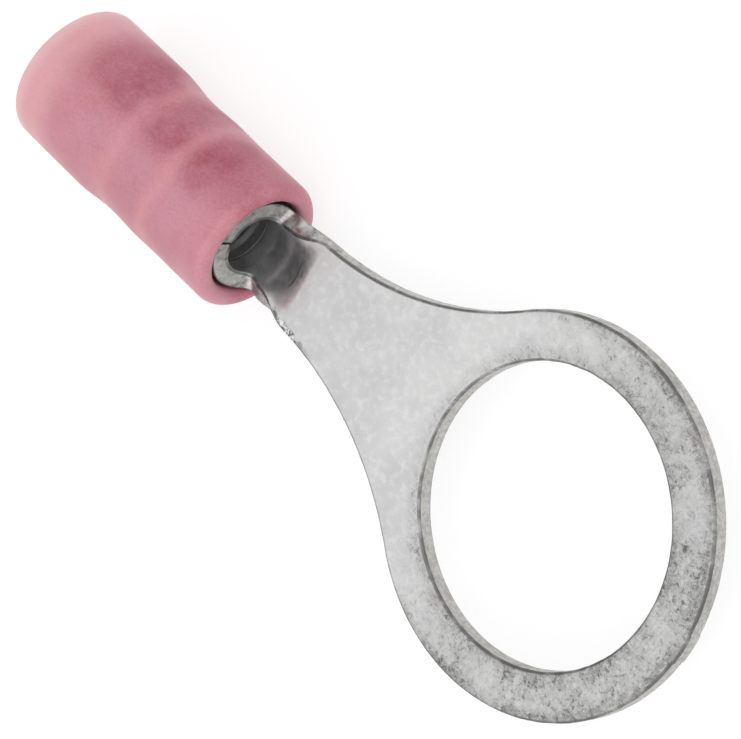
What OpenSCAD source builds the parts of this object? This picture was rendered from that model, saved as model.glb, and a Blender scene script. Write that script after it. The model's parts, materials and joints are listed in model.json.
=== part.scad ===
// Insulated crimp ring terminal, for one stranded wire of about 0.5 to 1.5 mm2 and a 3/8 inch stud.
// A stamped metal terminal is held in a metal grip sleeve, and a nylon insulator covers both.
// The origin is the centre of the stud hole on the underside of the ring. +Z is the axis of the stud
// and +X runs from the ring to the wire entry.

/* [Ring] */
// Diameter of the stud hole
hole_d = 10.1; // [6:0.1:10.5]
// Outside diameter of the ring
ring_d = 13.5; // [12.8:0.1:15]
// Width of the stub left at the ring's tip, where the strip of blanks was cut off
stub_w = 1; // [0.6:0.1:2]
// How far that stub stands out from the ring
stub_out = 0.04; // [0.02:0.01:0.2]
// Thickness of the metal in the ring, the neck and the barrel
stock_t = 0.65; // [0.5:0.05:0.8]

/* [Neck] */
// Width of the neck at the end of its flare
neck_w = 3.56; // [3.2:0.02:3.9]
// Distance from the centre of the stud hole to the end of the flare
flare_end_x = 13; // [12:0.1:13.6]
// Distance from the centre of the stud hole to where the flat neck starts to curl
curl_x = 12.5; // [11.5:0.1:13]
// Distance from the centre of the stud hole to where the trough is a half round
half_round_x = 14.1; // [13.4:0.1:14.6]

/* [Wire barrel] */
// Distance from the centre of the stud hole to the mouth of the barrel
mouth_x = 15; // [14.8:0.1:17]
// Length of the rolled barrel, from its mouth to its wire end
barrel_len = 5.4; // [4.8:0.1:6.4]
// Outside diameter of the barrel
barrel_d = 3.5; // [3.2:0.05:3.6]
// Height of the barrel's axis above the underside of the ring
barrel_z = 0.9; // [0.6:0.05:1.2]
// Gap between the butted edges along the top of the barrel
seam_gap = 0.08; // [0.04:0.02:0.2]
// Number of grip grooves round the bore of the barrel
groove_count = 3; // [1:1:4]
// Width of one grip groove
groove_w = 0.45; // [0.3:0.05:0.6]
// Depth of one grip groove
groove_depth = 0.1; // [0.05:0.01:0.15]

/* [Grip sleeve] */
// Wall of the grip sleeve
sleeve_t = 0.22; // [0.15:0.01:0.26]
// Inside diameter of the sleeve where it grips the wire's insulation
grip_d = 4.1; // [4:0.05:4.2]
// Length of the sleeve
sleeve_len = 7.8; // [7.6:0.1:9]
// Gap on the diameter where the sleeve is pushed onto the barrel
sleeve_fit = 0.04; // [0.02:0.01:0.1]

/* [Insulator] */
// Length of the insulator
insulator_len = 10.7; // [10:0.1:13]
// Outside diameter over the barrel
front_d = 5.2; // [5.1:0.05:5.4]
// Outside diameter over the wire grip
rear_d = 5.48; // [5.44:0.02:6]
// Diameter of the opening in the front lip
lip_d = 3.77; // [3.7:0.01:3.85]
// Length of the front lip
lip_len = 1.1; // [0.8:0.1:1.2]
// How far the front face of the insulator stands ahead of the barrel's mouth
front_cover = 0.3; // [0.1:0.1:1]
// Rounding of the outside of the front rim
front_rim_r = 0.4; // [0.2:0.05:0.4]
// Rounding of the inside of the front rim
lip_rim_r = 0.28; // [0.1:0.02:0.3]
// Rounding of the inside and the outside of the rear rim
rear_rim_r = 0.18; // [0.1:0.02:0.2]
// Gap on the diameter between the sleeve and the insulator
insulator_fit = 0.06; // [0.02:0.01:0.1]
// Diameter of the wire entry behind the sleeve
entry_d = 4.72; // [4.7:0.02:4.8]

/* [Hidden] */
$fn = 96;

// Extra reach that carries a cutter clear of the faces it cuts
clear = 0.5;
ring_r = ring_d / 2;
barrel_r = barrel_d / 2;
bore_r = barrel_r - stock_t;
mid_r = barrel_r - stock_t / 2;
barrel_end_x = mouth_x + barrel_len;
// Chamfer inside the wire end of the barrel
lead_in = 0.2;

// The flare is an arc on each side that touches the ring and ends along the neck's edge
flare_r = (pow(flare_end_x, 2) + pow(neck_w / 2, 2) - pow(ring_r, 2)) / (2 * ring_r - neck_w);
flare_y = neck_w / 2 + flare_r;
// The cusp where the flare meets the ring is trimmed, by this share of the ring's radius
cusp_trim = 0.98;
function neck_half_w(x) = flare_y - sqrt(pow(flare_r, 2) - pow(flare_end_x - x, 2));

// The trough turns the flat neck into the round barrel. It first curls into a half round whose
// edges stand level with the barrel's axis, and then closes over to the butted seam.
curl_steps = 10;
close_steps = 8;
arc_steps = 16;
// The trough's wall ends this much thinner than the barrel's wall that it runs into
weld_t = 0.06;
// Angle from the bottom of the barrel to the edge of its seam
closed_turn = 180 - (seam_gap / 2 + weld_t) / mid_r * 180 / PI;
function mix(from, to, t) = from + (to - from) * t;
function smooth(t) = t * t * (3 - 2 * t);

// One section across the trough: an arc of metal with radius r at mid thickness, from -turn to +turn
// round the bottom, and its centre at height z. The outer face comes first.
function arc_section(x, z, r, turn, wall) = [
    for (i = [0 : arc_steps])
        let (a = turn * (2 * i / arc_steps - 1), ro = r + wall / 2)
        [x, ro * sin(a), z - ro * cos(a)],
    for (i = [0 : arc_steps])
        let (a = turn * (1 - 2 * i / arc_steps), ri = r - wall / 2)
        [x, ri * sin(a), z - ri * cos(a)]
];
function flat_section(x, half_w, wall) = [
    for (i = [0 : arc_steps]) [x, half_w * (2 * i / arc_steps - 1), 0],
    for (i = [0 : arc_steps]) [x, half_w * (1 - 2 * i / arc_steps), wall]
];
function curl_section(t) =
    let (bend = smooth(t), x = mix(curl_x, half_round_x, t))
    bend == 0
        ? flat_section(x, neck_half_w(x), stock_t)
        : let (wall = stock_t - weld_t * bend, r = mid_r / bend,
               turn = asin(mix(neck_half_w(curl_x), mid_r + wall / 2, t) / (r + wall / 2)),
               edge_z = mix(stock_t / 2, barrel_z, bend))
          arc_section(x, edge_z + r * cos(turn), r, turn, wall);
function close_section(t) =
    arc_section(mix(half_round_x, mouth_x, sin(90 * t)), barrel_z, mid_r,
                mix(90, closed_turn, 1 - cos(90 * t)), stock_t - weld_t);

// Stations along the sleeve and the insulator
insulator_x = mouth_x - front_cover;
sleeve_x = insulator_x + lip_len;
// How far behind the barrel the sleeve starts to widen
flare_gap = 0.1;
flare_from_x = barrel_end_x + flare_gap;
flare_len = 1.2;
// How much longer the insulator takes to widen than the sleeve does
flare_ease = 0.3;
sleeve_front_r = (barrel_d + sleeve_fit) / 2;
grip_r = grip_d / 2;
// How far behind the sleeve its seat in the insulator ends
entry_step = 0.1;

// Puts children that are drawn round +Z on the barrel's axis, starting at x
module on_axis(x) {
    translate([x, 0, barrel_z]) rotate([0, 90, 0]) children();
}

// The flat part of the neck, from inside the ring to where it starts to curl
module neck_outline() {
    root = [flare_end_x, flare_y] * cusp_trim * ring_r / (ring_r + flare_r);
    difference() {
        polygon([[0, 0], root, [curl_x, root.y], [curl_x, -root.y], [root.x, -root.y]]);
        for (side = [-1, 1]) translate([flare_end_x, side * flare_y]) circle(r = flare_r);
    }
}

// The ring and the flat part of the neck, as cut from the strip
module blank() {
    difference() {
        union() {
            cylinder(r = ring_r, h = stock_t);
            translate([-ring_r - stub_out, -stub_w / 2, 0]) cube([ring_r, stub_w, stock_t]);
            linear_extrude(stock_t) neck_outline();
        }
        translate([0, 0, -clear]) cylinder(d = hole_d, h = stock_t + 2 * clear);
    }
}

module trough() {
    sections = concat(
        [for (i = [0 : curl_steps]) curl_section(i / curl_steps)],
        [for (i = [1 : close_steps]) close_section(i / close_steps)]
    );
    count = 2 * (arc_steps + 1);
    last = (len(sections) - 1) * count;
    polyhedron(
        points = [for (one = sections) each one],
        faces = concat(
            [for (i = [0 : arc_steps - 1]) [i, i + 1, count - 2 - i, count - 1 - i]],
            [for (i = [0 : arc_steps - 1]) [for (k = [count - 1 - i, count - 2 - i, i + 1, i]) last + k]],
            [for (j = [0 : count : last - count]) for (i = [0 : count - 1])
                let (a = j + i, b = j + (i + 1) % count)
                each [[a, a + count, b], [b, a + count, b + count]]]
        )
    );
}

// The rolled barrel, from the mouth to the wire end
module barrel() {
    difference() {
        on_axis(mouth_x) cylinder(r = barrel_r, h = barrel_len);
        on_axis(mouth_x - clear) cylinder(r = bore_r, h = barrel_len + 2 * clear);
        on_axis(barrel_end_x - lead_in) cylinder(r1 = bore_r, r2 = bore_r + lead_in, h = lead_in);
        for (i = [0 : groove_count - 1])
            on_axis(mouth_x + barrel_len * (i + 0.5) / groove_count - groove_w / 2)
                cylinder(r = bore_r + groove_depth, h = groove_w);
        translate([mouth_x - clear, -seam_gap / 2, barrel_z])
            cube([barrel_len + 2 * clear, seam_gap, barrel_r + clear]);
    }
}

// Stamped from one strip: ring, neck, trough and a barrel rolled until its edges butt
module terminal() {
    color("gainsboro") {
        blank();
        trough();
        barrel();
    }
}

// Formed from thin tube: a close fit on the barrel, then a wider end that grips the wire's insulation
module grip_sleeve() {
    flare_z = flare_from_x - sleeve_x;
    color("silver") on_axis(sleeve_x) rotate_extrude() polygon([
        [sleeve_front_r, 0],
        [sleeve_front_r + sleeve_t, 0],
        [sleeve_front_r + sleeve_t, flare_z],
        [grip_r + sleeve_t, flare_z + flare_len],
        [grip_r + sleeve_t, sleeve_len],
        [grip_r, sleeve_len],
        [grip_r, flare_z + flare_len],
        [sleeve_front_r, flare_z]
    ]);
}

// Cuts a square corner to radius r, round a centre. The corner that is cut points to +X +Y,
// turned by an angle.
module corner_cut(centre, r, turn) {
    translate(centre) rotate(turn) difference() {
        square(r + clear);
        circle(r = r);
    }
}

// Moulded nylon tube with a lip in front that the grip sleeve seats against
module insulator() {
    gap = insulator_fit / 2;
    front_r = front_d / 2;
    rear_r = rear_d / 2;
    lip_r = lip_d / 2;
    seat_r = sleeve_front_r + sleeve_t + gap;
    grip_seat_r = grip_r + sleeve_t + gap;
    entry_r = entry_d / 2;
    flare_z = flare_from_x - insulator_x;
    entry_z = lip_len + sleeve_len + entry_step;
    color("lightpink") on_axis(insulator_x) rotate_extrude() difference() {
        polygon([
            [0, 0], [front_r, 0],
            [front_r, flare_z], [rear_r, flare_z + flare_len + flare_ease],
            [rear_r, insulator_len], [0, insulator_len]
        ]);
        translate([0, -clear]) square([lip_r, insulator_len]);
        polygon([
            [0, lip_len], [seat_r, lip_len],
            [seat_r, flare_z], [grip_seat_r, flare_z + flare_len],
            [grip_seat_r, entry_z], [entry_r, entry_z],
            [entry_r, insulator_len + clear], [0, insulator_len + clear]
        ]);
        corner_cut([front_r - front_rim_r, front_rim_r], front_rim_r, 270);
        corner_cut([lip_r + lip_rim_r, lip_rim_r], lip_rim_r, 180);
        corner_cut([rear_r - rear_rim_r, insulator_len - rear_rim_r], rear_rim_r, 0);
        corner_cut([entry_r + rear_rim_r, insulator_len - rear_rim_r], rear_rim_r, 90);
    }
}

terminal();
grip_sleeve();
insulator();
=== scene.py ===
"""Looks for the insulated crimp ring terminal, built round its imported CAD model."""

import json
import math

import bmesh
import bpy
from mathutils import Matrix, Vector, noise

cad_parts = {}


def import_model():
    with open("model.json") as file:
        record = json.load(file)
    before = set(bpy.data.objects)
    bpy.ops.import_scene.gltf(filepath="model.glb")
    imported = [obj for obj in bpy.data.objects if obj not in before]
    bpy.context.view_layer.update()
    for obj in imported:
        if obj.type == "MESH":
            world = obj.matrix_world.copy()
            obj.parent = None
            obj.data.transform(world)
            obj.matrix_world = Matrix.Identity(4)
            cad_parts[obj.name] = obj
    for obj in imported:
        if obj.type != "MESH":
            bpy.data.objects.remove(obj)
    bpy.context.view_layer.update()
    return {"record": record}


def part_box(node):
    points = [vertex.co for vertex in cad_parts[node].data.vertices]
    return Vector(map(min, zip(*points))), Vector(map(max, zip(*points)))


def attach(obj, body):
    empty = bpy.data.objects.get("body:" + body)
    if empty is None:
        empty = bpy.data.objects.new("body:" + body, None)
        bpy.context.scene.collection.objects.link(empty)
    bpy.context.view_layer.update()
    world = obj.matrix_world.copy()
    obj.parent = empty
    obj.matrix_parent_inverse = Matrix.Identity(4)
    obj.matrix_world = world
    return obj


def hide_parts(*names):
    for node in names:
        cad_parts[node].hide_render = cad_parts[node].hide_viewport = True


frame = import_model()

MM = 0.001  # every length below is in millimetres, and meshes are scaled by this

# ---------------------------------------------------------------- sizes, from the CAD boxes
t_lo, t_hi = (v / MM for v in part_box("terminal"))
s_lo, s_hi = (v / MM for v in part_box("grip_sleeve"))
n_lo, n_hi = (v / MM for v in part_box("insulator"))
mounts = {m["name"]: m for m in frame["record"]["mounts"]}

HOLE_R = mounts["stud_hole"]["dims"]["r_mm"]
STOCK = mounts["stud_hole"]["dims"]["length_mm"]
RING_R = t_hi.y
STUB_OUT = -t_lo.x - RING_R
AXIS_Z = (s_lo.z + s_hi.z) / 2
BORE_R = mounts["conductor_bore"]["dims"]["r_mm"]
BARREL_R = BORE_R + STOCK
MID_R = BARREL_R - STOCK / 2
BARREL_END = t_hi.x
BARREL_LEN = 5.4
MOUTH = BARREL_END - BARREL_LEN
GRIP_R = mounts["wire_grip"]["dims"]["r_mm"]
GROOVE_COUNT, GROOVE_HALF, GROOVE_DEPTH, GROOVE_EASE = 3, 0.28, 0.1, 0.08
FLARE_GAP, FLARE_LEN = 0.1, 1.2  # the sleeve widens just past the barrel, over this length
SLEEVE_FIT = 0.02  # radial clearances inside the insulator and the sleeve
SEAT_GAP = 0.03
FRONT_R, LIP_R, ENTRY_R = 2.6, 1.885, 2.36  # the insulator's front, its lip and its wire entry
STEP_FROM, STEP_LEN = 20.3, 1.7  # where its outside widens
SKIN_FROM = 2.45  # radius between its bore and its outside

NECK_W, FLARE_END, CURL_X, WING_X = 3.56, 13.0, 12.5, 14.1
FLARE_R = (FLARE_END**2 + (NECK_W / 2) ** 2 - RING_R**2) / (2 * RING_R - NECK_W)
FLARE_Y = NECK_W / 2 + FLARE_R
CORNER = 0.05  # rounding of the stamped edges underneath
ROLL = 0.13  # softer rounding on top, where the punch entered
SUPPORT = 0.06  # loop inside the rounding that keeps the flat faces flat
SHOULDER = 0.6  # below 1, the barrel's front edge turns a squarer corner into the neck
WING_BEND = 0.86  # share of the barrel's curve where the wings start
WING_Z = 0.52  # height of the edges there
EDGE_BOW = 39.2  # how the neck's edge bows outwards, per metre, for the place of the painted dent shade and highlights
RIDGE_IN, CREASE_X = 0.66, 13.08  # the painted highlight line inside the mouth, and the crease of the trough with its painted shade


def smooth(t):
    return t * t * (3 - 2 * t)


def mix(a, b, t):
    return a + (b - a) * t


def rough(x, y, z, size, seed=0.0):
    """Smooth noise from -1 to 1 whose lumps are about that many millimetres across."""
    return noise.noise(Vector((x / size + seed, y / size - seed, z / size + 2 * seed)))


# ---------------------------------------------------------------- terminal
def edge_profile():
    """(inset, height above the middle of the sheet, wall) from the underside round the edge to the top."""
    half, steps, rows = STOCK / 2, 6, 7
    out = [(ROLL + SUPPORT, -half, 0.0)]
    for k in range(steps + 1):
        a = math.pi / 2 * k / steps
        out.append((CORNER * (1 - math.sin(a)), -half + CORNER * (1 - math.cos(a)), k / steps))
    for k in range(1, rows):
        out.append((0.0, mix(-half + CORNER, half - ROLL, k / rows), 1.0))
    for k in range(steps, -1, -1):
        a = math.pi / 2 * k / steps
        out.append((ROLL * (1 - math.sin(a)), half - ROLL * (1 - math.cos(a)), k / steps))
    out.append((ROLL + SUPPORT, half, 0.0))
    return out


EDGE = edge_profile()


def neck_half(x, inset=0.0):
    return FLARE_Y - math.sqrt((FLARE_R + inset) ** 2 - (FLARE_END - x) ** 2)


def outline(inset):
    """Open loop of the blank's outer edge, from the neck's +Y side round the ring to its -Y side."""
    start = math.atan2(FLARE_Y, FLARE_END)
    flare_from = math.atan2(-FLARE_Y, -FLARE_END)
    radius = FLARE_R + inset
    flare_to = math.asin((CURL_X - FLARE_END) / radius) - math.pi / 2
    flare = []
    for k in range(91):
        a = mix(flare_to, flare_from, k / 90)
        flare.append((FLARE_END + radius * math.cos(a), FLARE_Y + radius * math.sin(a)))
    ring = []
    for k in range(1, 360):
        a = mix(start, 2 * math.pi - start, k / 360)
        r = RING_R - inset
        off = abs((a - math.pi) * RING_R)
        r += STUB_OUT * smooth(min(1.0, max(0.0, (0.62 - off) / 0.1)))
        ring.append((r * math.cos(a), r * math.sin(a)))
    lower = [(x, -y) for x, y in reversed(flare)]
    return flare + ring + lower


def hole_loop(inset):
    turns = [2 * math.pi * k / 360 for k in range(360)]
    return [((HOLE_R + inset) * math.cos(a), (HOLE_R + inset) * math.sin(a)) for a in turns]


ACROSS = 96


def across(half, corner):
    """Places across the sheet, from -half to +half, closest together at the edges."""
    inner = half - ROLL - SUPPORT
    return [-half + corner] + [mix(-inner, inner, k / ACROSS) for k in range(ACROSS + 1)] + [half - corner]


def bent(x, a, b, r, centre_z):
    """A point of the bent sheet: a along its middle from the bottom, b towards the bore."""
    turn = a / r
    return (x, (r - b) * math.sin(turn), centre_z - (r - b) * math.cos(turn))


def section(x, half, r, centre_z):
    """Closed loop round one section of the trough or barrel, as (point, wall, inner) rows."""
    pts = []

    def put(a, b, edge, inner):
        if r is None:
            pts.append(((x, a, STOCK / 2 + b), edge, inner))
        else:
            pts.append((bent(x, a, b, r, centre_z), edge, inner))

    for a in across(half, CORNER):
        put(a, -STOCK / 2, 0.0, 0.0)
    for inset, b, edge in EDGE[2:-2]:
        put(half - inset, b, edge, 0.5)
    for a in reversed(across(half, ROLL)):
        put(a, STOCK / 2, 0.0, 1.0)
    for inset, b, edge in reversed(EDGE[2:-2]):
        put(-half + inset, b, edge, 0.5)
    return pts


def trough_sections():
    """The flat neck dishes early while its edges stay low, and the wings then close just before the mouth."""
    out = []
    steps = 30
    for i in range(steps + 1):
        t = i / steps
        bend, x = WING_BEND * smooth(t), mix(CURL_X, WING_X, t)
        if bend == 0:
            out.append(section(x, neck_half(x), None, 0))
            continue
        r = MID_R / bend
        side = mix(neck_half(CURL_X), MID_R + STOCK / 2, t)
        turn = math.asin(side / (r + STOCK / 2))
        centre_z = mix(STOCK / 2, WING_Z, smooth(t)) + r * math.cos(turn)
        out.append(section(x, r * turn, r, centre_z))
    from_r, from_turn, from_z = r, turn, centre_z
    closed = math.pi - 0.05 / MID_R
    steps = 34
    for i in range(1, steps + 1):
        u = math.pi / 2 * i / steps
        along, over = math.sin(u) ** SHOULDER, 1 - math.cos(u) ** SHOULDER
        ease = smooth(along)
        r, turn = mix(from_r, MID_R, ease), mix(from_turn, closed, over)
        out.append(section(mix(WING_X, MOUTH, along), r * turn, r, mix(from_z, AXIS_Z, ease)))
    steps = 54
    for i in range(1, steps + 1):
        out.append(section(mix(MOUTH, BARREL_END, i / steps), MID_R * closed, MID_R, AXIS_Z))
    return out


def grip_groove(x):
    """Depth of the grip grooves inside the bore at x."""
    for k in range(GROOVE_COUNT):
        middle = MOUTH + BARREL_LEN * (k + 0.5) / GROOVE_COUNT
        near = abs(x - middle)
        if near < GROOVE_HALF:
            return GROOVE_DEPTH * smooth(min(1.0, (GROOVE_HALF - near) / GROOVE_EASE))
    return 0.0


def build_terminal():
    bm = bmesh.new()
    wall_l = bm.verts.layers.float.new("wall")
    inner_l = bm.verts.layers.float.new("inner")

    def vert(co, wall, inner):
        v = bm.verts.new(co)
        v[wall_l], v[inner_l] = wall, inner
        return v

    # the flat ring and neck: loops round the edge, and flat faces between the innermost ones
    def rim(loop_of, closed):
        loops = []
        for inset, b, edge in EDGE:
            loops.append([vert((x, y, STOCK / 2 + b), edge, 0.5 + b / STOCK) for x, y in loop_of(inset)])
        for one, two in zip(loops, loops[1:]):
            n = len(one)
            for k in range(n if closed else n - 1):
                m = (k + 1) % n
                bm.faces.new((one[k], one[m], two[m], two[k]))
        return loops

    outer = rim(outline, False)
    inner = rim(hole_loop, True)
    places = across(neck_half(CURL_X), ROLL)[2:-2]
    for level, rows in ((0, -STOCK / 2), (-1, STOCK / 2)):
        end = [vert((CURL_X, a, STOCK / 2 + rows), 0.0, 0.5 + rows / STOCK) for a in places]
        chain = outer[level] + end
        edges = []
        for k in range(len(chain)):
            pair = (chain[k], chain[(k + 1) % len(chain)])
            edges.append(bm.edges.get(pair) or bm.edges.new(pair))
        hole = inner[level]
        for k in range(len(hole)):
            edges.append(bm.edges.get((hole[k], hole[(k + 1) % len(hole)])))
        bmesh.ops.triangle_fill(bm, use_beauty=True, use_dissolve=False, edges=edges)

    # the trough and the barrel
    rows = [[vert(co, w, i) for co, w, i in one] for one in trough_sections()]
    for one, two in zip(rows, rows[1:]):
        n = len(one)
        for k in range(n):
            m = (k + 1) % n
            bm.faces.new((one[k], one[m], two[m], two[k]))
    last, n = rows[-1], len(rows[-1])
    side = len(EDGE) - 4
    flat = ACROSS + 3
    for k in range(flat - 1):
        top = 2 * flat + side - 1 - k
        bm.faces.new((last[k], last[k + 1], last[top - 1], last[top]))
    bm.faces.new([last[flat - 1 + k] for k in range(side + 2)])
    bm.faces.new([last[(2 * flat + side - 1 + k) % n] for k in range(side + 2)])

    # weld the flat part to the trough, and nothing else: sections lie closer than this near the mouth
    joint = [v for v in bm.verts if abs(v.co.x - CURL_X) < 0.01]
    bmesh.ops.remove_doubles(bm, verts=joint, dist=0.003)
    bmesh.ops.recalc_face_normals(bm, faces=bm.faces)

    # small unevenness of real metal, left out where pieces touch inside the sleeve
    for v in bm.verts:
        x, y, z = v.co
        if x > MOUTH - 0.6 and v[inner_l] > 0.9:
            axis = Vector((x, 0, AXIS_Z))
            v.co += (v.co - axis).normalized() * grip_groove(x)
    bm.normal_update()
    shifts = {}
    for v in bm.verts:
        x, y, z = v.co
        if x < MOUTH + 0.4 and v[wall_l] > 0:
            push = 0.014 * rough(x, y, z, 0.5, 3.1) + 0.009 * rough(x, y, z * 0.4, 0.16, 7.7)
            shifts[v] = v.normal * (push - 0.012) * v[wall_l]
    for v, move in shifts.items():
        v.co += move
    for v in bm.verts:
        v.co *= MM
    return mesh_object("terminal_metal", bm)


# ---------------------------------------------------------------- turned pieces
def rounded(points):
    """Closed outline of (x, r, rounding) corners as plain points, each corner replaced with an arc."""
    out = []
    n = len(points)
    for k in range(n):
        before, here, after = (Vector(points[(k + j) % n][:2]) for j in (-1, 0, 1))
        radius = points[k][2]
        if radius <= 0:
            out.append(tuple(here))
            continue
        one, two = (before - here).normalized(), (after - here).normalized()
        half = one.angle(two) / 2
        reach = radius / math.tan(half)
        middle = here + (one + two).normalized() * (radius / math.sin(half))
        start, stop = here + one * reach - middle, here + two * reach - middle
        turn = start.angle_signed(stop)
        steps = 8
        for j in range(steps + 1):
            a = -turn * j / steps
            ca, sa = math.cos(a), math.sin(a)
            out.append((middle.x + start.x * ca - start.y * sa, middle.y + start.x * sa + start.y * ca))
    return out


def lathe(name, profile, turns, wobble=0.0):
    """Turns a closed (x, r) outline round the barrel's axis."""
    bm = bmesh.new()
    rings = []
    for j in range(turns):
        a = 2 * math.pi * j / turns
        ring = []
        for x, r in profile:
            rr = r + wobble * rough(x, r * math.cos(a), r * math.sin(a), 2.2, 5.0)
            ring.append(bm.verts.new((x, rr * math.sin(a), AXIS_Z + rr * math.cos(a))))
        rings.append(ring)
    n = len(profile)
    for j in range(turns):
        one, two = rings[j], rings[(j + 1) % turns]
        for k in range(n):
            m = (k + 1) % n
            bm.faces.new((one[k], two[k], two[m], one[m]))
    bmesh.ops.recalc_face_normals(bm, faces=bm.faces)
    for v in bm.verts:
        v.co *= MM
    return mesh_object(name, bm)


def mesh_object(name, bm):
    mesh = bpy.data.meshes.new(name)
    bm.to_mesh(mesh)
    bm.free()
    for p in mesh.polygons:
        p.use_smooth = True
    obj = bpy.data.objects.new(name, mesh)
    bpy.context.scene.collection.objects.link(obj)
    return obj


def densified(points, step):
    out = []
    n = len(points)
    for k in range(n):
        a, b = Vector(points[k]), Vector(points[(k + 1) % n])
        parts = max(1, int((b - a).length / step))
        for j in range(parts):
            out.append(tuple(a.lerp(b, j / parts)))
    return out


def build_sleeve():
    front = BARREL_R + SLEEVE_FIT
    wall = s_hi.z - AXIS_Z - GRIP_R
    x0, x1 = s_lo.x, s_hi.x
    flare0 = BARREL_END + FLARE_GAP
    flare1 = flare0 + FLARE_LEN
    profile = rounded([
        (x0, front, 0.05), (x0, front + wall, 0.05),
        (flare0, front + wall, 0.6), (flare1, GRIP_R + wall, 0.6),
        (x1, GRIP_R + wall, 0.07), (x1, GRIP_R, 0.07),
        (flare1, GRIP_R, 0.4), (flare0, front, 0.4),
    ])
    return lathe("grip_sleeve_metal", densified(profile, 0.3), 128)


def insulator_outer(x):
    """Outside radius of the insulator at x, with its faint swell over the sleeve's front end."""
    swell = 0.03 * math.exp(-(((x - 18.7) / 0.7) ** 2)) - 0.012 * math.exp(-(((x - 19.9) / 0.4) ** 2))
    rear = n_hi.z - AXIS_Z
    t = min(1.0, max(0.0, (x - STEP_FROM) / STEP_LEN))
    return mix(FRONT_R + swell, rear, smooth(t))


def build_insulator():
    x0, x1 = n_lo.x, n_hi.x
    rear = n_hi.z - AXIS_Z
    wall = s_hi.z - AXIS_Z - GRIP_R
    seat, grip_seat = BARREL_R + SLEEVE_FIT + wall + SEAT_GAP, GRIP_R + wall + SEAT_GAP
    past = s_hi.x + FLARE_GAP
    flare0 = BARREL_END + FLARE_GAP
    flare1 = flare0 + FLARE_LEN
    outer = rounded([
        (x0, LIP_R, 0.28), (x0, FRONT_R, 0.4), (x1, rear, 0.2), (x1, ENTRY_R, 0.18),
        (past, ENTRY_R, 0), (past, grip_seat, 0), (flare1, grip_seat, 0.5),
        (flare0, seat, 0.5), (s_lo.x, seat, 0.05), (s_lo.x, LIP_R, 0.05),
    ])
    profile = []
    for x, r in densified(outer, 0.12):
        if r > SKIN_FROM:  # the outside, not the bore
            nominal = FRONT_R + (rear - FRONT_R) * (x - x0) / (x1 - x0)
            ease = smooth(min(1.0, max(0.0, (r - SKIN_FROM) / 0.1)))
            r = r + (insulator_outer(x) - nominal) * ease
        profile.append((x, min(r, rear)))
    return lathe("insulator_nylon", profile, 160, 0.005)


# ---------------------------------------------------------------- materials
def material(name):
    mat = bpy.data.materials.new(name)
    mat.use_nodes = True
    tree = mat.node_tree
    tree.nodes.clear()
    out = tree.nodes.new("ShaderNodeOutputMaterial")
    shader = tree.nodes.new("ShaderNodeBsdfPrincipled")
    tree.links.new(shader.outputs[0], out.inputs[0])
    return mat, tree, shader


class Nodes:
    """Short calls for the nodes that the materials are made from."""

    def __init__(self, tree):
        self.tree = tree
        self.where = self.node("ShaderNodeTexCoord").outputs["Object"]

    def node(self, kind, **sets):
        n = self.tree.nodes.new(kind)
        for key, value in sets.items():
            setattr(n, key, value)
        return n

    def join(self, a, b):
        self.tree.links.new(a, b)

    def put(self, socket, value):
        if isinstance(value, bpy.types.NodeSocket):
            self.join(value, socket)
        else:
            socket.default_value = value

    def math(self, op, a, b=0.0, c=0.0, clamp=False):
        n = self.node("ShaderNodeMath", operation=op, use_clamp=clamp)
        for socket, value in zip(n.inputs, (a, b, c)):
            self.put(socket, value)
        return n.outputs[0]

    def noise(self, per_mm, detail=4.0, roughness=0.55, distortion=0.0):
        n = self.node("ShaderNodeTexNoise")
        self.join(self.where, n.inputs["Vector"])
        n.inputs["Scale"].default_value = per_mm / MM
        n.inputs["Detail"].default_value = detail
        n.inputs["Roughness"].default_value = roughness
        n.inputs["Distortion"].default_value = distortion
        return n.outputs["Fac"]

    def ramp(self, value, low, high, a=0.0, b=1.0):
        n = self.node("ShaderNodeMapRange", interpolation_type="SMOOTHSTEP")
        for socket, v in zip(n.inputs, (value, low, high, a, b)):
            self.put(socket, v)
        return n.outputs[0]

    def blend(self, amount, a, b):
        n = self.node("ShaderNodeMix", data_type="RGBA")
        self.put(n.inputs[0], amount)
        self.put(n.inputs[6], a)
        self.put(n.inputs[7], b)
        return n.outputs[2]

    def attribute(self, name):
        return self.node("ShaderNodeAttribute", attribute_name=name).outputs["Fac"]

    def xyz(self):
        n = self.node("ShaderNodeSeparateXYZ")
        self.join(self.where, n.inputs[0])
        return n.outputs

    def bump(self, height, strength, distance):
        n = self.node("ShaderNodeBump")
        n.inputs["Strength"].default_value = strength
        n.inputs["Distance"].default_value = distance
        self.join(height, n.inputs["Height"])
        return n.outputs[0]


def grey(v, warm=0.0):
    return (v * (1 + warm), v, v * (1 - 1.6 * warm), 1.0)


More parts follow.
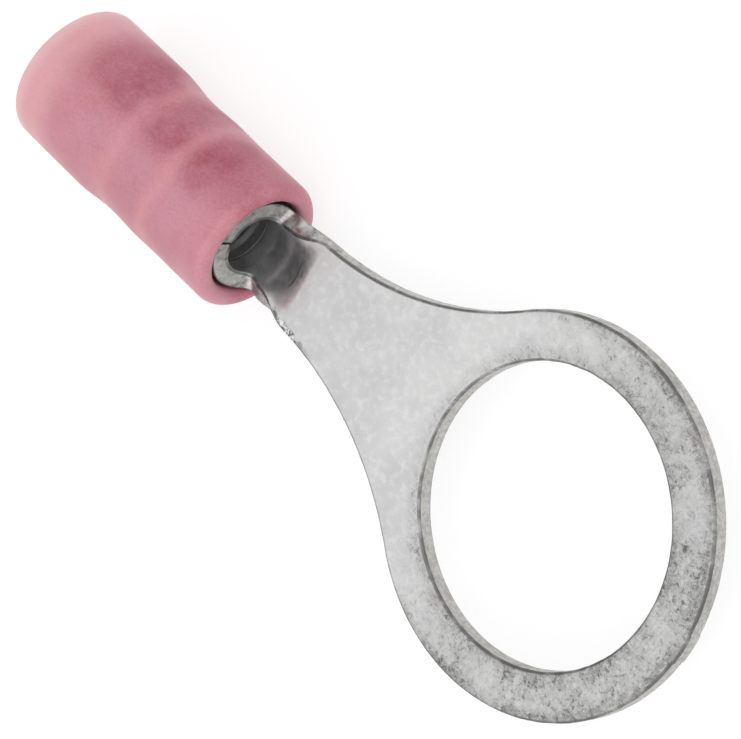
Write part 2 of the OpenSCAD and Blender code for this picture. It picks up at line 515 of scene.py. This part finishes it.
def tin():
    mat, tree, shader = material("tinned_copper_look")
    k = Nodes(tree)
    x, y, z = k.xyz()
    radius = k.math("SQRT", k.math("ADD", k.math("MULTIPLY", x, x), k.math("MULTIPLY", y, y)))
    cloud = k.noise(0.5, 4.0, 0.6)
    fine = k.noise(3.4, 6.0, 0.7)
    grit = k.noise(6.0, 5.0, 0.8, 0.8)
    patch = k.noise(0.8, 5.0, 0.62, 0.5)
    wall = k.attribute("wall")

    base = k.blend(k.ramp(cloud, 0.35, 0.65), grey(0.68), grey(0.76, 0.003))
    base = k.blend(k.ramp(fine, 0.45, 0.68, 0.0, 0.45), base, grey(0.90))
    mottle = k.noise(1.9, 5.0, 0.65, 0.3)
    # the ring is duller than the neck, most of all beside the stud hole and along its outer edge
    away = k.ramp(x, 5.4 * MM, -1.5 * MM, 0.0, 0.55)
    hole_side = k.ramp(radius, (HOLE_R + 0.7) * MM, (HOLE_R + 0.05) * MM, 0.0, 0.36)
    rim_side = k.math("MULTIPLY", k.ramp(radius, (RING_R - 0.55) * MM, (RING_R - 0.05) * MM, 0.0, 1.3), away)
    zone = k.math("ADD", k.math("ADD", away, hole_side), rim_side)
    lumps = k.ramp(patch, 0.34, 0.66, 0.6, 1.2)
    lumps = k.math("MULTIPLY", lumps, k.ramp(mottle, 0.36, 0.64, 0.72, 1.28))
    dull = k.math("MULTIPLY", zone, lumps, clamp=True)
    base = k.blend(dull, base, grey(0.37, 0.008))
    marked = k.math("MULTIPLY", dull, 1.5)
    specks = k.math("MULTIPLY", k.ramp(grit, 0.53, 0.60), k.math("ADD", marked, 0.03), clamp=True)
    specks = k.math("MULTIPLY", specks, k.ramp(patch, 0.4, 0.62, 0.45, 0.9))
    base = k.blend(specks, base, grey(0.13, 0.02))
    glints = k.math("MULTIPLY", k.ramp(grit, 0.45, 0.38), marked, clamp=True)
    base = k.blend(k.math("MULTIPLY", glints, 0.4), base, grey(0.88))
    # cut walls: pale and warm; the rounding where they meet the face is painted dark, a painted shade line
    streak = k.noise(6.0, 5.0, 0.7)
    cut = k.blend(k.ramp(streak, 0.36, 0.64), grey(0.40, 0.03), grey(0.56, 0.025))
    cut = k.blend(k.ramp(patch, 0.5, 0.66, 0.0, 0.5), cut, grey(0.30, 0.03))
    base = k.blend(k.ramp(wall, 0.75, 1.0), base, cut)
    roll_shade = k.math("MULTIPLY", k.ramp(wall, 0.0, 0.3), k.ramp(wall, 1.0, 0.85))
    roll_shade = k.math("MULTIPLY", roll_shade, k.ramp(patch, 0.34, 0.56, 0.5, 0.92))
    base = k.blend(roll_shade, base, grey(0.14, 0.02))
    # painted shade darkens the bore the deeper it goes, and the outside of the barrel where the insulator
    # covers it is painted shade too
    inner = k.attribute("inner")
    bowed = k.math("SUBTRACT", x, k.math("MULTIPLY", k.math("MULTIPLY", y, y), 0.6 / MM))
    deep = k.ramp(x, 14.6 * MM, 15.8 * MM, 0.0, 0.4)
    bore_depth_shade = k.math("ADD", k.ramp(bowed, 12.95 * MM, 14.2 * MM, 0.0, 0.6), deep)
    inside = k.ramp(inner, 0.7, 0.95)
    bore = k.math("MULTIPLY", bore_depth_shade, inside)
    base = k.blend(k.math("MULTIPLY", bore, k.ramp(grit, 0.3, 0.62, 0.66, 0.92)), base, grey(0.12))
    # painted shade inside the trough where it dips towards the barrel
    trough_shade = k.math("MULTIPLY", k.ramp(x, 12.7 * MM, 13.5 * MM, 0.0, 0.45), inside)
    base = k.blend(trough_shade, base, grey(0.33))
    # ragged dark and bright patches along the neck's dented edge beside the wing, on the +Y side only, the
    # side in view: painted shade in the dents and painted highlights on their facets
    dent_light_and_shade = k.math("MULTIPLY", k.ramp(x, 10.6 * MM, 12.0 * MM), k.ramp(x, 14.3 * MM, 13.9 * MM))
    short = k.math("SUBTRACT", FLARE_END * MM, x)
    edge_y = k.math("MULTIPLY_ADD", k.math("MULTIPLY", short, short), EDGE_BOW, NECK_W / 2 * MM)
    inset = k.math("SUBTRACT", edge_y, y)
    ragged = k.math("ADD", inset, k.math("MULTIPLY", k.math("SUBTRACT", mottle, 0.5), -1.3 * MM))
    dent_light_and_shade = k.math("MULTIPLY", dent_light_and_shade, k.ramp(ragged, 0.34 * MM, 0.16 * MM))
    dent_light_and_shade = k.math("MULTIPLY", dent_light_and_shade, k.ramp(inner, 0.55, 0.8))
    dent_noise = k.noise(4.2, 3.0, 0.6, 0.4)
    base = k.blend(k.math("MULTIPLY", dent_light_and_shade, k.ramp(dent_noise, 0.46, 0.54, 0.15, 0.88)), base, grey(0.12, 0.01))
    base = k.blend(k.math("MULTIPLY", dent_light_and_shade, k.ramp(dent_noise, 0.45, 0.39)), base, grey(0.95, 0.01))
    # painted shade, nearly black, on the outside of the trough and barrel near the insulator's front
    covered_shade = k.math("MULTIPLY", k.ramp(x, 13.9 * MM, 14.5 * MM), k.ramp(inner, 0.4, 0.1))
    flank_shade = k.math("MULTIPLY", k.ramp(x, 12.9 * MM, 13.7 * MM), k.ramp(z, 0.35 * MM, 0.8 * MM))
    covered_shade = k.math("MAXIMUM", covered_shade, k.math("MULTIPLY", flank_shade, k.ramp(inner, 0.4, 0.1)))
    base = k.blend(k.math("MULTIPLY", covered_shade, 0.93), base, grey(0.05, 0.05))
    # a painted highlight along the fine ridge at the first grip groove, and painted shade in the crease where
    # the trough starts
    off_ridge = k.math("ABSOLUTE", k.math("SUBTRACT", x, (MOUTH + RIDGE_IN) * MM))
    ridge_highlight = k.math("MULTIPLY", k.ramp(off_ridge, 0.09 * MM, 0.03 * MM), inside)
    base = k.blend(k.math("MULTIPLY", ridge_highlight, 0.8), base, grey(0.85))
    curve = k.math("MULTIPLY", k.math("MULTIPLY", y, y), 0.35 / MM)
    off_crease = k.math("ABSOLUTE", k.math("SUBTRACT", k.math("SUBTRACT", x, curve), CREASE_X * MM))
    middle = k.ramp(k.math("ABSOLUTE", y), 0.62 * MM, 0.4 * MM)
    crease_shade = k.math("MULTIPLY", k.ramp(off_crease, 0.075 * MM, 0.015 * MM), middle)
    crease_shade = k.math("MULTIPLY", k.math("MULTIPLY", crease_shade, inside), k.ramp(fine, 0.4, 0.6, 0.3, 0.9))
    base = k.blend(crease_shade, base, grey(0.18))
    # dark patches along the roundings of the neck's edges
    edge_dark_patches = k.math("MULTIPLY", k.ramp(wall, 0.02, 0.3), k.ramp(x, 9.0 * MM, 12.5 * MM))
    edge_dark_patches = k.math("MULTIPLY", edge_dark_patches, k.ramp(k.noise(2.6, 5.0, 0.7), 0.5, 0.68))
    base = k.blend(k.math("MULTIPLY", edge_dark_patches, 0.7), base, grey(0.12, 0.02))
    k.join(base, shader.inputs["Base Color"])
    shader.inputs["Metallic"].default_value = 1.0
    rough_in = k.math("ADD", k.ramp(fine, 0.3, 0.7, 0.36, 0.48), k.math("MULTIPLY", dull, 0.14))
    covered = k.math("MULTIPLY", k.math("ADD", bore, covered_shade), 0.22)
    k.join(k.math("ADD", rough_in, covered), shader.inputs["Roughness"])
    height = k.math("ADD", k.math("MULTIPLY", fine, 0.6), k.math("MULTIPLY", grit, k.math("ADD", dull, 0.3)))
    k.join(k.bump(height, 0.5, 0.02 * MM), shader.inputs["Normal"])
    return mat


def sleeve_metal():
    mat, tree, shader = material("grip_metal_look")
    k = Nodes(tree)
    fine = k.noise(3.0, 5.0, 0.6)
    base = k.blend(k.ramp(fine, 0.35, 0.65), grey(0.42, 0.01), grey(0.60))
    k.join(base, shader.inputs["Base Color"])
    shader.inputs["Metallic"].default_value = 1.0
    k.join(k.ramp(fine, 0.3, 0.7, 0.3, 0.45), shader.inputs["Roughness"])
    k.join(k.bump(fine, 0.3, 0.01 * MM), shader.inputs["Normal"])
    return mat


def nylon():
    mat, tree, shader = material("pink_nylon_look")
    k = Nodes(tree)
    x, y, z = k.xyz()
    side = k.math("MULTIPLY", y, -1.0)
    up = k.math("SUBTRACT", z, AXIS_Z * MM)
    turn = k.math("ARCTAN2", side, up)
    soft = k.noise(0.5, 3.0, 0.55)
    wander = k.math("MULTIPLY", k.math("SUBTRACT", k.noise(0.45, 3.0, 0.55), 0.5), 1.3 * MM)
    along = k.math("ADD", x, wander)

    def bell(value, middle, width):
        off = k.math("DIVIDE", k.math("SUBTRACT", value, middle), width)
        return k.math("POWER", 2.718, k.math("MULTIPLY", k.math("MULTIPLY", off, off), -1.0))

    # the metal inside darkens the nylon up to where the grip sleeve ends
    metal = k.ramp(along, 24.5 * MM, 22.9 * MM)
    tip = k.ramp(x, 24.6 * MM, 25.3 * MM)
    bare = k.blend(tip, (0.61, 0.30, 0.32, 1), (0.68, 0.43, 0.44, 1))
    base = k.blend(metal, bare, (0.475, 0.180, 0.218, 1))
    # painted shade: darkest in two soft stripes along the metal and in bands across it, a painted dark
    # reflection of the metal seen through the nylon, broken by the paler steps in the barrel and the sleeve
    wavy = k.math("ADD", turn, k.math("MULTIPLY", k.math("SUBTRACT", soft, 0.5), 0.9))
    near = k.math("MULTIPLY", k.ramp(wavy, 0.34, 0.74), k.ramp(wavy, 2.1, 1.3))
    far = k.math("MULTIPLY", k.ramp(wavy, -2.7, -2.3), k.ramp(wavy, -1.3, -1.9))
    shade_stripes = k.math("ADD", near, far)
    shade_bands = k.math("ADD", k.math("ADD", bell(along, 16.9 * MM, 0.62 * MM), bell(along, 19.1 * MM, 0.6 * MM)),
                   bell(along, 21.5 * MM, 0.8 * MM))
    shade = k.math("MULTIPLY", shade_stripes, k.math("ADD", k.math("MULTIPLY", shade_bands, 0.5), 0.56))
    shade = k.math("ADD", shade, k.math("MULTIPLY", shade_bands, 0.14), clamp=True)
    base = k.blend(k.math("MULTIPLY", shade, metal), base, (0.32, 0.055, 0.092, 1))
    # painted highlights: paler rings over the steps; and painted shade: a lavender cast between them on the
    # side that the light misses
    rings = k.math("ADD", bell(along, 18.05 * MM, 0.3 * MM), bell(along, 20.35 * MM, 0.36 * MM))
    base = k.blend(k.math("MULTIPLY", k.math("MULTIPLY", rings, metal), 0.32), base, (0.66, 0.30, 0.32, 1))
    unlit_cast_shade = k.math("MULTIPLY", k.ramp(turn, 0.5, 0.2), k.ramp(turn, -0.9, -0.2))
    unlit_cast_shade = k.math("MULTIPLY", unlit_cast_shade, k.math("MULTIPLY", shade_bands, metal))
    base = k.blend(k.math("MULTIPLY", unlit_cast_shade, 0.3), base, (0.46, 0.21, 0.30, 1))
    base = k.blend(k.ramp(soft, 0.4, 0.66, 0.0, 0.22), base, (0.60, 0.30, 0.39, 1))
    grain = k.noise(8.0, 3.0, 0.6)
    base = k.blend(k.ramp(grain, 0.3, 0.7, 0.0, 0.10), base, (0.86, 0.55, 0.56, 1))
    k.join(base, shader.inputs["Base Color"])
    k.join(k.ramp(grain, 0.3, 0.7, 0.40, 0.54), shader.inputs["Roughness"])
    shader.inputs["IOR"].default_value = 1.53
    shader.inputs["Subsurface Weight"].default_value = 0.35
    shader.inputs["Subsurface Radius"].default_value = (1.0, 0.45, 0.42)
    shader.inputs["Subsurface Scale"].default_value = 0.4 * MM
    height = k.math("ADD", k.math("MULTIPLY", grain, 0.5), soft)
    k.join(k.bump(height, 0.25, 0.02 * MM), shader.inputs["Normal"])
    return mat


def floor_look():
    mat, tree, shader = material("pale_floor_look")
    k = Nodes(tree)
    paper = k.noise(0.05, 3.0, 0.5)
    k.join(k.blend(k.ramp(paper, 0.3, 0.7), grey(0.27), grey(0.29)), shader.inputs["Base Color"])
    shader.inputs["Roughness"].default_value = 0.9
    shader.inputs["Specular IOR Level"].default_value = 0.1
    shader.inputs["Emission Color"].default_value = (1, 1, 1, 1)
    shader.inputs["Emission Strength"].default_value = 0.73
    return mat


# ---------------------------------------------------------------- pieces
def place(obj, look, node):
    obj.data.materials.append(look)
    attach(obj, "root")
    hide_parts(node)


place(build_terminal(), tin(), "terminal")
place(build_sleeve(), sleeve_metal(), "grip_sleeve")
place(build_insulator(), nylon(), "insulator")


# ---------------------------------------------------------------- floor, light and camera
def build_floor():
    bm = bmesh.new()
    bmesh.ops.create_grid(bm, x_segments=8, y_segments=8, size=1.5)
    for v in bm.verts:
        v.co.z = (n_lo.z - 0.02) * MM
    floor = mesh_object("floor", bm)
    floor.data.materials.append(floor_look())


def area_light(name, place_at, aim, size, power):
    data = bpy.data.lights.new(name, "AREA")
    data.shape = "DISK"
    data.size = size
    data.energy = power
    obj = bpy.data.objects.new(name, data)
    obj.location = place_at
    obj.rotation_mode = "QUATERNION"
    obj.rotation_quaternion = (Vector(aim) - Vector(place_at)).to_track_quat("-Z", "Y")
    bpy.context.scene.collection.objects.link(obj)


def camera():
    """Looks down at the ring's face, rolled so that the wire end is at the upper left."""
    aim = Vector((8.884, 0.809, 0.0)) * MM
    heading, down, roll, reach = math.radians(39.63), math.radians(50.84), math.radians(92.84), 118.71 * MM
    ahead = Vector((math.cos(down) * math.cos(heading), math.cos(down) * math.sin(heading), -math.sin(down)))
    right = ahead.cross(Vector((0, 0, 1))).normalized()
    level = right.cross(ahead)
    up = level * math.cos(roll) + right * math.sin(roll)
    across_ = ahead.cross(up)
    data = bpy.data.cameras.new("camera")
    data.sensor_width = 36.0
    data.lens = 170.04
    data.clip_start, data.clip_end = 0.001, 10.0
    cam = bpy.data.objects.new("camera", data)
    rot = Matrix((across_, up, -ahead)).transposed()
    cam.matrix_world = Matrix.Translation(aim - ahead * reach) @ rot.to_4x4()
    bpy.context.scene.collection.objects.link(cam)
    bpy.context.scene.camera = cam


def world():
    w = bpy.data.worlds.new("studio")
    w.use_nodes = True
    back = w.node_tree.nodes["Background"]
    tree = w.node_tree
    coord = tree.nodes.new("ShaderNodeTexCoord")
    split = tree.nodes.new("ShaderNodeSeparateXYZ")
    ramp = tree.nodes.new("ShaderNodeValToRGB")
    ramp.color_ramp.elements[0].position = 0.0
    ramp.color_ramp.elements[0].color = (0.42, 0.42, 0.43, 1)
    ramp.color_ramp.elements[1].position = 0.75
    ramp.color_ramp.elements[1].color = (0.86, 0.86, 0.86, 1)
    tree.links.new(coord.outputs["Generated"], split.inputs[0])
    tree.links.new(split.outputs[2], ramp.inputs[0])
    tree.links.new(ramp.outputs[0], back.inputs[0])
    back.inputs[1].default_value = 1.0
    bpy.context.scene.world = w


build_floor()
world()
area_light("key", (-0.35, -0.42, 0.63), (0.01, 0, 0), 1.4, 4.4)
area_light("fill", (-0.25, 0.70, 0.40), (0.015, 0, 0), 1.2, 3.1)
camera()
bpy.context.scene.view_settings.view_transform = "Standard"
